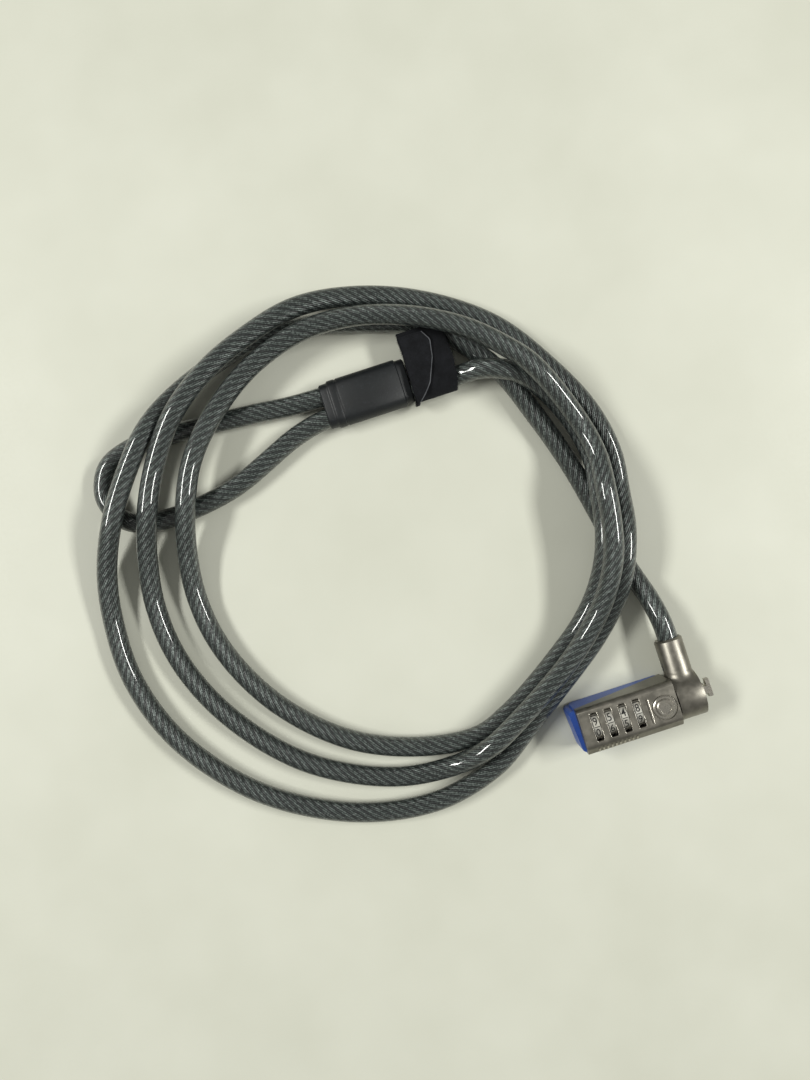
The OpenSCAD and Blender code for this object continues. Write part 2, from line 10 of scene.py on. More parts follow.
import bmesh
import bpy
import numpy as np
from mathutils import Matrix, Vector


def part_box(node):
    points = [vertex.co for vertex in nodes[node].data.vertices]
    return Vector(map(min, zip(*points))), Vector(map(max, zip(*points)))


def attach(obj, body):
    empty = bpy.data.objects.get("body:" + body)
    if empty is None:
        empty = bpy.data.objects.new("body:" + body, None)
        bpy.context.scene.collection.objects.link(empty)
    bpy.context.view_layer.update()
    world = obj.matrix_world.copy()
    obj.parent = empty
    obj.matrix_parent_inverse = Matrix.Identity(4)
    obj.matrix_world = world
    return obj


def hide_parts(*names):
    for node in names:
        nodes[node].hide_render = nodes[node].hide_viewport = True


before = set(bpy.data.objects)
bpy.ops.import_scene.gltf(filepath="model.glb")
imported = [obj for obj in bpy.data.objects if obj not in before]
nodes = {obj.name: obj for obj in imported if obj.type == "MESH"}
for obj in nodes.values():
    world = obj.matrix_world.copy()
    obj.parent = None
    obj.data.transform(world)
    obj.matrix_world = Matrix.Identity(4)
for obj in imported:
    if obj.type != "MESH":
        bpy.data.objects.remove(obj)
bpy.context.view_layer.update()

MM = 0.001
print("CAD nodes:", len(nodes))

# %% [markdown]
# ## Camera
# The camera looks straight down from about 31 cm above the table, over the middle of the coil, and is
# turned so that the lock lies a little aslant in the view. From so close, whatever stands high looks
# bigger, so the camera's true height matters as much as its lens.

# %% The camera
camera_turn = math.radians(-18)
camera_spot = np.array([-54.0, 81.05, 311.4]) * MM
focal_length_mm, film_width_mm = 29.07, 36
lens = bpy.data.cameras.new("camera")
lens.lens = focal_length_mm
lens.sensor_width = film_width_mm
camera = bpy.data.objects.new("camera", lens)
camera.location = camera_spot
camera.rotation_euler = (0, 0, camera_turn)
bpy.context.collection.objects.link(camera)
bpy.context.scene.camera = camera
view_right = np.array([math.cos(camera_turn), math.sin(camera_turn), 0])
view_up = np.array([-math.sin(camera_turn), math.cos(camera_turn), 0])

# %% [markdown]
# ## Making a surface
# Most pieces are a grid of points: one direction goes round, the other goes along. The points are
# computed as one array and given to the mesh in one go, which is quicker and shorter than placing
# vertices one by one. The grid's own directions are kept as a UV map, because the rope's stripes have
# to follow the cable round every bend.


# %% Surfaces from grids
def piece_from(name, points, faces, body, uv=None):
    """A smooth mesh object with these points and faces, riding on a CAD body. uv has one pair for each
    corner of each face."""
    mesh = bpy.data.meshes.new(name)
    mesh.from_pydata(points.tolist(), [], faces)
    if uv is not None:
        layer = mesh.uv_layers.new(name="surface")
        layer.data.foreach_set("uv", np.asarray(uv, dtype=np.float32).ravel())
    mesh.polygons.foreach_set("use_smooth", np.full(len(mesh.polygons), True))
    mesh.validate()
    piece = bpy.data.objects.new(name, mesh)
    bpy.context.collection.objects.link(piece)
    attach(piece, body)
    return piece


def grid_faces(rows, columns, closed):
    """Quads between neighbours in a grid whose point (i, j) has number i * columns + j.
    closed joins the last column to the first."""
    across = columns if closed else columns - 1
    i, j = np.meshgrid(np.arange(rows - 1), np.arange(across), indexing="ij")
    i, j = i.ravel(), j.ravel()
    k = (j + 1) % columns
    return np.stack([i * columns + j, i * columns + k, (i + 1) * columns + k, (i + 1) * columns + j], axis=1)


def tube_piece(name, rings, body, along):
    """Closed surface through rings, an array of (ring, point, xyz), with flat ends. along is each ring's
    distance in metres, and becomes the UV's first value; the second goes from 0 to 1 round the ring."""
    rows, columns = rings.shape[:2]
    faces = grid_faces(rows, columns, True)
    i, j = faces[:, 0] // columns, faces[:, 0] % columns
    u = np.stack([along[i], along[i], along[i + 1], along[i + 1]], axis=1)
    v = np.stack([j, j + 1, j + 1, j], axis=1) / columns
    uv = np.stack([u, v], axis=2).reshape(-1, 2)
    caps = [list(range(columns))[::-1], list(range((rows - 1) * columns, rows * columns))]
    cap_uv = np.zeros((2 * columns, 2))
    return piece_from(name, rings.reshape(-1, 3), faces.tolist() + caps, body, np.concatenate([uv, cap_uv]))


# %% [markdown]
# ## Finishes
# Each material is named for what the real piece is made of. One function adds a node with its settings
# and links, whatever its kind. Colours are written as hex values, the way a paint chart gives them, and
# another function turns them into the linear light that the renderer works in.
#
# Every pattern is noise with a true size: its blobs are a given number of millimetres across, measured in
# the object's own space, so a finish keeps its grain when the part is moved or reused.


# %% Material helpers
def tone(hex_code):
    """An sRGB hex code as linear red, green, blue and alpha."""
    srgb = [int(hex_code[i:i + 2], 16) / 255 for i in (1, 3, 5)]
    return tuple(c / 12.92 if c <= 0.04045 else ((c + 0.055) / 1.055) ** 2.4 for c in srgb) + (1.0,)


def connect(tree, node, links):
    """Links a source to each named input. A source is a socket, or a node whose first output is meant."""
    for key, source in links.items():
        socket = source if isinstance(source, bpy.types.NodeSocket) else source.outputs[0]
        tree.links.new(socket, node.inputs[key])


def add(tree, kind, links=None, values=None, stops=(), **settings):
    """A node of this kind. links are its sources, values its plain inputs, stops a ramp's (place, colour)."""
    made = tree.nodes.new("ShaderNode" + kind)
    for key, value in settings.items():
        setattr(made, key, value)
    for key, value in (values or {}).items():
        made.inputs[key].default_value = value
    for number, (place, colour) in enumerate(stops):
        if number >= len(made.color_ramp.elements):
            made.color_ramp.elements.new(1.0)
        made.color_ramp.elements[number].position = place
        made.color_ramp.elements[number].color = colour
    connect(tree, made, links or {})
    return made


def finish_named(name, **sockets):
    """A new material with its shader's plain sockets set. Returns the material, its tree, its shader and
    the object's own space."""
    material = bpy.data.materials.new(name)
    material.use_nodes = True
    tree = material.node_tree
    shader = tree.nodes["Principled BSDF"]
    for key, value in sockets.items():
        shader.inputs[key.replace("_", " ")].default_value = value
    return material, tree, shader, add(tree, "TexCoord").outputs["Object"]


def grey(level):
    """A colour ramp's way to say a plain number."""
    return (level, level, level, 1.0)


def paint(piece, material):
    """The piece's only material."""
    piece.data.materials.clear()
    piece.data.materials.append(material)


# %% [markdown]
# ### Cast and plated metals
# The shell and the head are die-cast zinc plated with satin nickel: a warm grey with a soft broad
# sheen, tiny pits from the casting and a little polish where fingers rub. A metal needs its colour in
# the base, metallic at 1 and the life in its roughness.


# %% Satin nickel
def cast_metal(name, colour, worn, low, high, grain_mm, pit_mm):
    """Plated casting: patches of colour and roughness a few millimetres across, and fine pits."""
    material, tree, shader, space = finish_named(name, Metallic=1.0)
    patches = add(tree, "TexNoise", {"Vector": space},
                  {"Scale": 1 / (3.5 * MM), "Detail": 4.0, "Roughness": 0.55})
    grain = add(tree, "TexNoise", {"Vector": space},
                {"Scale": 1 / (grain_mm * MM), "Detail": 2.0, "Roughness": 0.55})
    mixed = add(tree, "Math", {0: patches, 1: grain}, operation="MULTIPLY")
    colours = [(0.35, tone(colour)), (0.7, tone(worn))]
    connect(tree, shader, {
        "Base Color": add(tree, "ValToRGB", {"Fac": patches}, stops=colours),
        "Roughness": add(tree, "ValToRGB", {"Fac": mixed}, stops=[(0.1, grey(low)), (0.42, grey(high))]),
        "Normal": add(tree, "Bump", {"Height": grain}, {"Distance": pit_mm * MM, "Strength": 0.5})})
    return material


satin_nickel = cast_metal("satin nickel on die-cast zinc", "#7C7971", "#938F86", 0.34, 0.5, 0.22, 0.02)
dial_plating = cast_metal("bright plated dial wheel", "#DDDBD3", "#CFCCC2", 0.38, 0.5, 0.2, 0.01)
turned_steel = cast_metal("turned stainless steel", "#BDB9B0", "#A8A399", 0.22, 0.36, 0.3, 0.008)
black_oxide = cast_metal("black oxide steel", "#4B4A48", "#5E5C59", 0.3, 0.5, 0.3, 0.01)
rolled_brass = cast_metal("rolled brass", "#C2A15A", "#A98945", 0.25, 0.4, 0.3, 0.01)
raw_zinc = cast_metal("raw zinc casting", "#8B8C8D", "#7A7B7D", 0.4, 0.6, 0.4, 0.03)
drawn_aluminium = cast_metal("drawn aluminium", "#B4B5B8", "#A4A5A8", 0.3, 0.45, 0.3, 0.01)


# %% [markdown]
# ### Plastics
# The base cover is moulded ABS in a strong blue, and the sleeve is black PVC with a dull skin that
# picks up pale scuffs. Both get a fine moulded texture and a faint change of tone.


# %% Moulded plastics
def moulded_plastic(name, colour, shade, roughness, grain_mm, relief_mm, scuff="#000000", scuffed=0.0):
    """Moulded plastic: slow change of tone, fine skin texture, and a few pale scuffs."""
    material, tree, shader, space = finish_named(name, IOR=1.5)
    slow = add(tree, "TexNoise", {"Vector": space},
               {"Scale": 1 / (9.0 * MM), "Detail": 4.0, "Roughness": 0.55})
    grain = add(tree, "TexNoise", {"Vector": space},
                {"Scale": 1 / (grain_mm * MM), "Detail": 3.0, "Roughness": 0.55})
    scratchy = add(tree, "TexNoise", {"Vector": space},
                   {"Scale": 1 / (1.6 * MM), "Detail": 8.0, "Roughness": 0.75})
    body = add(tree, "ValToRGB", {"Fac": slow}, stops=[(0.35, tone(shade)), (0.65, tone(colour))])
    marks = add(tree, "ValToRGB", {"Fac": scratchy}, stops=[(0.58, grey(0)), (0.72, grey(scuffed))])
    gloss = [(0.3, grey(roughness - 0.08)), (0.7, grey(roughness + 0.08))]
    connect(tree, shader, {
        "Base Color": add(tree, "MixRGB", {"Fac": marks, "Color1": body}, {"Color2": tone(scuff)}),
        "Roughness": add(tree, "ValToRGB", {"Fac": grain}, stops=gloss),
        "Normal": add(tree, "Bump", {"Height": grain}, {"Distance": relief_mm * MM, "Strength": 0.6})})
    return material


blue_abs = moulded_plastic("blue moulded ABS", "#2F55A8", "#27489A", 0.38, 0.25, 0.015, "#6F8CC8", 0.25)
black_pvc = moulded_plastic("black moulded PVC", "#111518", "#0C0F12", 0.5, 0.5, 0.05, "#384047", 0.4)
digit_paint = moulded_plastic("black digit paint", "#141414", "#0D0D0D", 0.5, 0.3, 0.01)

# %% [markdown]
# ## The cable
# A steel wire rope runs inside a smoky, glossy jacket. It leaves the lock's barrel, makes three loose
# turns, and is folded back on itself in an eye. A cable this stiff lies in wide smooth curves and climbs
# over itself in long low humps, so its route is a list of points, in millimetres: two across the
# table and how far its underside is off it. A smooth spline through them is the centreline.
#
# The lead runs from the lock to the top of the coil, and three turns follow. The stretch back goes under
# the strap and through the sleeve, and the eye returns to the sleeve beside it.

# %% The route
cable_d = 7 * MM
rest_z = cable_d / 2 + 0.05 * MM
head_low, head_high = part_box("swivel_head")
crimp_low, crimp_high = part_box("cable_crimp")
head_x = (crimp_low[0] + crimp_high[0]) / 2 / MM
axis_z = (crimp_low[2] + crimp_high[2]) / 2
exit_lift = (axis_z - rest_z) / MM
# The sleeve's middle across the table, the distance between its two strands, and how far the strands'
# undersides are off the table in the sleeve and in the strap
sleeve_y, strand_gap, sleeve_lift, strap_lift = 134, 7.6, 1.2, 1.9
strap_y = sleeve_y - strand_gap / 2

lead = [(head_x, crimp_high[1] / MM, exit_lift), (head_x, 26, exit_lift), (21, 35, 2.5), (18, 47, 0),
        (16, 57, 0), (10, 87, 0), (4, 107, 0), (-5, 129.5, 0), (-24, 150.5, 0.5), (-46, 159, 0),
        (-66, 164, 0)]
turn_1 = [(-86, 164, 0), (-114, 154, 4), (-127, 145, 7.5), (-138, 133, 7.5), (-148, 118, 8), (-157, 101, 3),
          (-161, 82, 0), (-160, 61, 0), (-151, 37, 0), (-130, 12, 0), (-100, -5, 0), (-71, -10, 0),
          (-48, -4.8, 0), (-34, 4, 0)]
turn_2 = [(-21.3, 12.7, 0), (-10.5, 20, 0), (-1, 27.2, 0.5), (6.5, 35, 3), (12.3, 43.5, 6.8), (16.8, 53, 8),
          (20.3, 62.5, 6.3), (23, 73, 1.5), (25, 88, 0), (22, 105, 0), (13, 124, 0), (-1, 144, 0),
          (-24, 160.5, 0), (-46, 168, 3), (-66, 169, 7.5), (-86, 164, 8.5), (-102, 156.5, 10.5),
          (-117, 145.5, 10.5), (-128, 132, 8), (-135, 118, 8.5), (-142, 101, 3), (-145, 83, 0),
          (-142, 62, 0), (-131, 39, 0), (-111, 17, 0), (-84, 3, 0), (-63, 0.5, 2)]
turn_3 = [(-48, 4, 7.2), (-36.5, 9.5, 7.5), (-23.5, 17, 7.6), (-12.8, 24, 7.6), (-4, 31.2, 8),
          (2.5, 38.3, 9.8), (7.6, 46.2, 12.3), (11.6, 55.2, 14), (14, 65.5, 14.8),
          (15.5, 77, 15), (17, 88, 11.5), (15.5, 100, 9.5), (5.5, 124, 13.3), (-2, 134, 12),
          (-12, 143.5, 11.2), (-27, 152.5, 10.6), (-46, 159.5, 8), (-66, 160.5, 7.5),
          (-86, 154.5, 7), (-103, 143, 7.5), (-115, 130, 8), (-122, 116, 8), (-128, 99, 3),
          (-130, 81, 0), (-126, 61, 0), (-114, 39, 0), (-94, 20, 0), (-71, 10, 0)]
back = [(-50, 7.5, 0), (-37.5, 12, 0), (-25.6, 18.7, 0), (-14.9, 25.8, 0), (-5.8, 32.5, 0.5), (1, 39.5, 2.2),
        (6.1, 47, 4.6), (10.3, 55.8, 6.6), (13.2, 65.5, 7.3), (15, 77, 7), (17, 88, 3.5),
        (15.5, 100, 1.5), (12, 110, 1.2), (7, 118, 3.9), (1, 124, 6.6), (-5, 127.3, 7.4),
        (-11.5, 129.6, 5.3), (-18.5, strap_y, strap_lift + 0.2), (-27, strap_y, strap_lift),
        (-40, strap_y, sleeve_lift), (-65, strap_y, sleeve_lift)]
eye = [(-78, 128, 0), (-108, 116.5, 0), (-136.5, 114.5, 0), (-146, 118.5, 0), (-150, 128, 0),
       (-146, 137.5, 0), (-136.5, 141.5, 0), (-123, 142, 0), (-93, 140, 0), (-79, 138.5, 0),
       (-65, strap_y + strand_gap, sleeve_lift), (-40, strap_y + strand_gap, sleeve_lift)]
route = np.array(lead + turn_1 + turn_2 + turn_3 + back + eye) * MM + [0, 0, rest_z]


# %% The centreline
def spline_through(points, step):
    """Centripetal Catmull-Rom spline through points, cut into pieces about step long: each knot lies the
    square root of a chord after the last, and a point is three rounds of blending between neighbours."""
    ends = np.concatenate([[2 * points[0] - points[1]], points, [2 * points[-1] - points[-2]]])
    knots = np.concatenate([[0], np.cumsum(np.linalg.norm(np.diff(ends, axis=0), axis=1) ** 0.5)])
    line = []
    for i in range(1, len(ends) - 2):
        t0, t1, t2, t3 = knots[i - 1:i + 3]
        count = max(2, int(round(np.linalg.norm(ends[i + 1] - ends[i]) / step)))
        t = np.linspace(t1, t2, count, endpoint=False)[:, None]
        a = (t1 - t) / (t1 - t0) * ends[i - 1] + (t - t0) / (t1 - t0) * ends[i]
        b = (t2 - t) / (t2 - t1) * ends[i] + (t - t1) / (t2 - t1) * ends[i + 1]
        c = (t3 - t) / (t3 - t2) * ends[i + 1] + (t - t2) / (t3 - t2) * ends[i + 2]
        ab = (t2 - t) / (t2 - t0) * a + (t - t0) / (t2 - t0) * b
        bc = (t3 - t) / (t3 - t1) * b + (t - t1) / (t3 - t1) * c
        line.append((t2 - t) / (t2 - t1) * ab + (t - t1) / (t2 - t1) * bc)
    line.append(ends[-2][None, :])
    line = np.concatenate(line)
    line[:, 2] = np.maximum(line[:, 2], rest_z)
    return line


def rings_round(line, radius, sides):
    """Circles square to a line that is never upright: point + radius * (cos a * level + sin a * up)."""
    ahead = np.gradient(line, axis=0)
    ahead /= np.linalg.norm(ahead, axis=1)[:, None]
    level = np.cross([0, 0, 1], ahead)
    level /= np.linalg.norm(level, axis=1)[:, None]
    up = np.cross(ahead, level)
    angle = np.linspace(0, 2 * np.pi, sides, endpoint=False)
    return (line[:, None, :] + radius * (np.cos(angle)[None, :, None] * level[:, None, :]
                                         + np.sin(angle)[None, :, None] * up[:, None, :]))


def path_length(line):
    """How far each point is from the first, following the line."""
    return np.concatenate([[0], np.cumsum(np.linalg.norm(np.diff(line, axis=0), axis=1))])


centreline = spline_through(route, 1.3 * MM)
cable_along = path_length(centreline)
print("cable length", round(float(cable_along[-1]), 3), "m in", len(centreline), "rings")
cable_sides = 26
cable_rings = rings_round(centreline, cable_d / 2, cable_sides)
cable = tube_piece("steel_cable", cable_rings, "cable_side", cable_along)
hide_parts("cable")

# %% [markdown]
# ### The rope under its jacket
# What shows is the rope, magnified to the jacket's full width by the clear plastic, so stripes run from
# edge to edge. They follow the cable: with one UV direction along it and one round it, a stripe is a
# slanted line. Eight strands make one turn every 27 mm, and each is a rounded hump; its groove is painted
# dark as shade.
# 28 finer lines over them are the single wires, which lie nearer to the cable's own direction. This
# relief sits under a smooth coat, because the jacket itself is smooth: that gives the long thin
# highlights.


# %% Rope in a smoky jacket
def rope_in_jacket():
    """Strands are |sin(pi * phase)| with phase = count * round - count / lay * along, where a slow noise
    shifts the phase. Wires are the same with more stripes and a longer lay."""
    material, tree, shader, space = finish_named("wire rope in smoky PVC jacket", Roughness=0.42, IOR=1.5,
                                                 Coat_Weight=1.0, Coat_Roughness=0.07, Coat_IOR=1.5)
    place = add(tree, "SeparateXYZ", {"Vector": add(tree, "UVMap", uv_map="surface")})
    drift = add(tree, "TexNoise", {"Vector": space},
                {"Scale": 1 / (7.0 * MM), "Detail": 2.0, "Roughness": 0.55})
    speckle = add(tree, "TexNoise", {"Vector": space},
                  {"Scale": 1 / (0.7 * MM), "Detail": 5.0, "Roughness": 0.55})
    wobble = add(tree, "Math", {0: drift}, {1: 0.5}, operation="MULTIPLY")

    def slanted(count, lay_mm):
        """Height of count stripes round the cable, each making one turn in lay_mm."""
        around = add(tree, "Math", {0: place.outputs["Y"]}, {1: count}, operation="MULTIPLY")
        along = add(tree, "Math", {0: place.outputs["X"]}, {1: count / (lay_mm * MM)}, operation="MULTIPLY")
        phase = add(tree, "Math", {0: around, 1: along}, operation="SUBTRACT")
        shifted = add(tree, "Math", {0: phase, 1: wobble}, operation="ADD")
        turned = add(tree, "Math", {0: shifted}, {1: math.pi}, operation="MULTIPLY")
        return add(tree, "Math", {0: add(tree, "Math", {0: turned}, operation="SINE")}, operation="ABSOLUTE")

    strand = slanted(8, 27.0)
    wire = add(tree, "Math", {0: slanted(28, 44.0)}, {1: 0.75}, operation="MULTIPLY")
    height = add(tree, "Math", {0: strand, 1: wire}, operation="ADD")
    # The base colour follows the relief: painted shade darkens the grooves between strands and wires, and a
    # fine random speckle varies it.
    groove_shade_and_speckle = add(tree, "Math", {0: height, 1: speckle}, operation="MULTIPLY")
    colours = [(0.15, "#0A0D0D"), (0.4, "#1B2020"), (0.62, "#323937"), (0.95, "#6A726F")]
    connect(tree, shader, {
        "Base Color": add(tree, "ValToRGB", {"Fac": groove_shade_and_speckle}, stops=[(at, tone(code)) for at, code in colours]),
        "Metallic": add(tree, "ValToRGB", {"Fac": strand}, stops=[(0.3, grey(0.1)), (0.9, grey(0.45))]),
        "Normal": add(tree, "Bump", {"Height": height}, {"Distance": 0.35 * MM, "Strength": 0.6})})
    return material


paint(cable, rope_in_jacket())

# %% [markdown]
# ## The sleeve
# A black PVC sleeve is moulded over the metal ferrule that closes the eye. Its section is a stadium that
# holds two strands side by side, with a narrower collar at each end and a shallow groove near the eye.
# The section is carried along the sleeve while its radius follows a profile of flats and rounded steps.


# %% The sleeve
def stadium(radius, half_gap, sides):
    """Points (across, up) round two half circles and the straight lines between them. At angle a:
    across = radius * cos a + sign(cos a) * half_gap * sqrt(min(1, 2.2 * |cos a|)), up = radius * sin a."""
    angle = np.linspace(0, 2 * np.pi, sides, endpoint=False)
    return np.stack([radius * np.cos(angle) + np.sign(np.cos(angle)) * half_gap
                     * np.minimum(1, np.abs(np.cos(angle)) * 2.2) ** 0.5, radius * np.sin(angle)], axis=1)


def rounded_step(x0, r0, x1, r1):
    """Seven profile points from (x0, r0) to (x1, r1): r = r0 + (r1 - r0) * (1 - cos(pi * s)) / 2."""
    t = np.linspace(0, 1, 7)
    return [(x0 + (x1 - x0) * s, r0 + (r1 - r0) * (1 - math.cos(math.pi * s)) / 2) for s in t]


sleeve_low, sleeve_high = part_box("loop_sleeve")
outer_low, outer_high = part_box("sleeve_collar_outer")
inner_low, inner_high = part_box("sleeve_collar_inner")
main_r = (sleeve_high[2] - sleeve_low[2]) / 2
collar_r = (outer_high[2] - outer_low[2]) / 2
sleeve_mid_z = (sleeve_high[2] + sleeve_low[2]) / 2
bore_r = cable_d / 2 + 0.05 * MM
lip_r = bore_r + 0.15 * MM
groove_r = main_r - 0.22 * MM
s0, s1 = sleeve_low[0], sleeve_high[0]
profile = np.array([(outer_low[0] + 0.3 * MM, bore_r)]
                   + rounded_step(outer_low[0], lip_r, outer_low[0] + 0.5 * MM, collar_r)
                   + rounded_step(s0 - 0.5 * MM, collar_r, s0 + 0.7 * MM, main_r)
                   + rounded_step(s0 + 2.6 * MM, main_r, s0 + 3.0 * MM, groove_r)
                   + rounded_step(s0 + 3.3 * MM, groove_r, s0 + 3.7 * MM, main_r)
                   + rounded_step(s1 - 0.3 * MM, main_r, s1 + 0.2 * MM, collar_r)
                   + rounded_step(inner_high[0] - 0.5 * MM, collar_r, inner_high[0], lip_r)
                   + [(inner_high[0] - 0.3 * MM, bore_r)])
sleeve_sides = 72
sleeve_rings = []
for x, r in profile:
    section = stadium(r, strand_gap / 2 * MM, sleeve_sides)
    sleeve_rings.append(np.stack([np.full(len(section), x), sleeve_y * MM + section[:, 0],
                                  sleeve_mid_z + section[:, 1]], axis=1))
sleeve = tube_piece("moulded_sleeve", np.array(sleeve_rings), "cable_side", profile[:, 0] - profile[0, 0])
paint(sleeve, black_pvc)
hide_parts("loop_sleeve", "sleeve_collar_inner", "sleeve_collar_outer")

# %% [markdown]
# ## The keeper strap
# A hook-and-loop band goes round the cable beside the sleeve. One end comes up from under the cable, lies
# over the next strand and is tucked beneath the bundle; the other end is folded over it, and its bound
# edge shows as a pale curved line. A band is a path swept sideways, with a wandering edge and a thickness.


# %% A swept band
def band(name, path, left, right, body, thick):
    """Ribbon of (x, y, z): for each path point (y, z) x runs from left to right, with t going from 0 to 1,
    and z gains the ripple 0.16 mm * sin(0.9 * x + 0.35 * along) * sin(pi * t), with x and along in mm."""
    columns = 15
    t = np.linspace(0, 1, columns)
    x = left[:, None] + (right - left)[:, None] * t[None, :]
    along = path_length(path)
    ripple = 0.16 * MM * np.sin(x / MM * 0.9 + along[:, None] / MM * 0.35) * np.sin(t * np.pi)[None, :]
    points = np.stack([x, np.repeat(path[:, :1], columns, axis=1), path[:, 1:] + ripple], axis=2)
    faces = grid_faces(len(path), columns, False)
    i, j = faces[:, 0] // columns, faces[:, 0] % columns
    u = np.stack([along[i], along[i], along[i + 1], along[i + 1]], axis=1)
    v = np.stack([x[i, j], x[i, j + 1], x[i + 1, j + 1], x[i + 1, j]], axis=1)
    uv = np.stack([u, v], axis=2).reshape(-1, 2)
    made = piece_from(name, points.reshape(-1, 3), faces.tolist(), body, uv)
    wall = made.modifiers.new("thickness", "SOLIDIFY")
    wall.thickness = thick
    wall.offset = 0
    return made, points


wander = np.random.default_rng(4)


def frayed(count, size_mm):
    """A slow random wander for a cut edge, smoothed over nine points."""
    loose = wander.standard_normal(count + 8)
    return size_mm * MM * np.convolve(loose, np.ones(9) / 3, "valid")


# %% [markdown]
# The ring path starts under the cable, goes more than once round it in a slowly growing spiral and ends on
# top. From there the tail sags a little over the next strand. Both edges fray, and the right one narrows.

# %% The band round the cable
strap_low, strap_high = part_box("strap")
strap_x0, strap_x1 = strap_low[0], strap_high[0]
strap_mid_z = rest_z + strap_lift * MM
weave_t = 0.9 * MM
ring_count, tail_count = 64, 26
inner_r, outer_r = 4.1 * MM, 4.55 * MM


def round_strand(radius, from_degrees, to_degrees, count):
    """Path points (y, z) round the strap's strand: its middle + radius * (cos a, sin a)."""
    angle = np.radians(np.linspace(from_degrees, to_degrees, count))
    return np.stack([strap_y * MM + radius * np.cos(angle), strap_mid_z + radius * np.sin(angle)], axis=1)


ring_path = round_strand(np.linspace(inner_r, outer_r, ring_count), 400, 90, ring_count)
tail_y = np.linspace(ring_path[-1, 0] + 0.6 * MM, strap_high[1] - 0.5 * MM, tail_count)
sag = 0.8 * MM * np.sin(np.linspace(0, np.pi, tail_count)) ** 2
tail_path = np.stack([tail_y, ring_path[-1, 1] - sag], axis=1)
band_path = np.concatenate([ring_path, tail_path])
count = len(band_path)
taper = np.interp(np.linspace(0, 1, count), [0, 0.55, 0.8, 1], [1.9, 1.9, 0.2, 0.6]) * MM
strap_band, band_points = band("strap_band", band_path, strap_x0 + 0.3 * MM + frayed(count, 0.12),
                               strap_x1 - taper + frayed(count, 0.12), "cable_side", weave_t)

# %% [markdown]
# The folded end lies over the near side of the ring and across its top. Its free edge is a curve: at first
# it hardly covers the ring, and farther on it reaches past the middle of the band.

# %% The folded end
layer_step = weave_t + 0.06 * MM
flap_path = np.concatenate([round_strand(outer_r + layer_step, 225, 90, 34),
                            tail_path[:24] + [0, layer_step]])
share = np.interp(np.linspace(0, 1, len(flap_path)), [0, 0.3, 0.55, 0.78, 0.92, 1.0],
                  [0.02, 0.07, 0.34, 0.58, 0.64, 0.52])
flap_edge = strap_x0 + share * (strap_x1 - strap_x0)
strap_flap, flap_points = band("strap_flap", flap_path, strap_x0 + 0.1 * MM + frayed(len(flap_path), 0.1),
                               flap_edge, "cable_side", weave_t)

# %% [markdown]
# The pale bound edge is a thread along the folded end's free side. The fuzz is over a thousand short
# needles that stand out of every cut edge: a three-sided cone each, leaning at random.

# %% Bound edge and fuzz
thread_r = 0.2 * MM
edge_line = flap_points[6:, -1] + [0, -0.25 * MM, 0.3 * MM]
edge_thread = tube_piece("strap_edge_thread", rings_round(edge_line, thread_r, 8), "cable_side",
                         path_length(edge_line))
needle_r, longest_needle = 0.045 * MM, 0.9 * MM


def fuzz_piece(name, roots, outward, body):
    """Needles from roots. Each leans from its outward direction: tip = root + length * unit(outward + noise),
    and its three other corners are needle_r out from the root, a third of a turn apart."""
    amount = len(roots)
    lean = outward + 0.55 * wander.standard_normal((amount, 3))
    lean /= np.linalg.norm(lean, axis=1)[:, None]
    length = longest_needle * wander.uniform(0.35, 1.0, amount)[:, None]
    side = np.cross(lean, wander.standard_normal((amount, 3)))
    side *= needle_r / np.linalg.norm(side, axis=1)[:, None]
    other = np.cross(lean, side)
    corners = [roots + side * math.cos(a) + other * math.sin(a) for a in np.radians([0, 120, 240])]
    points = np.stack([*corners, roots + lean * length], axis=1).reshape(-1, 3)
    points[:, 2] = np.maximum(points[:, 2], 0.1 * MM)
    first = np.arange(amount)[:, None] * 4
    faces = np.concatenate([first + f for f in ([0, 1, 3], [1, 2, 3], [2, 0, 3], [0, 2, 1])])
    return piece_from(name, points, faces.tolist(), body)


def edge_roots(points, column, direction, amount):
    """Random places along one edge of a band, within its thickness, and the way each needle points."""
    at = wander.uniform(0, len(points) - 1.001, amount)
    low = at.astype(int)
    part = (at - low)[:, None]
    spot = points[low, column] * (1 - part) + points[low + 1, column] * part
    spot = spot + wander.uniform(-0.35, 0.35, (amount, 3)) * weave_t * [0, 1, 1]
    return spot, np.tile(direction, (amount, 1)).astype(float)


edges = [edge_roots(band_points, 0, [-1, 0, 0.2], 420), edge_roots(band_points, -1, [1, 0, 0.2], 420),
         edge_roots(flap_points, 0, [-1, 0, 0.3], 200),
         edge_roots(flap_points[:30], -1, [0.8, 0, 0.5], 60),
         edge_roots(np.swapaxes(flap_points, 0, 1), 0, [0, -1, 0], 60)]
fuzz = fuzz_piece("strap_fuzz", np.concatenate([spots for spots, _ in edges]),
                  np.concatenate([ways for _, ways in edges]), "cable_side")
print("strap band", round(float(path_length(band_path)[-1]) / MM, 1), "mm")

# %% [markdown]
# ### Loop pile
# The soft side of hook-and-loop tape is a mat of tiny loops: very dark, with no gloss but a faint sheen at
# grazing angles. Worn tape has mats of lint in it. Noise at the size of the loops gives the relief.


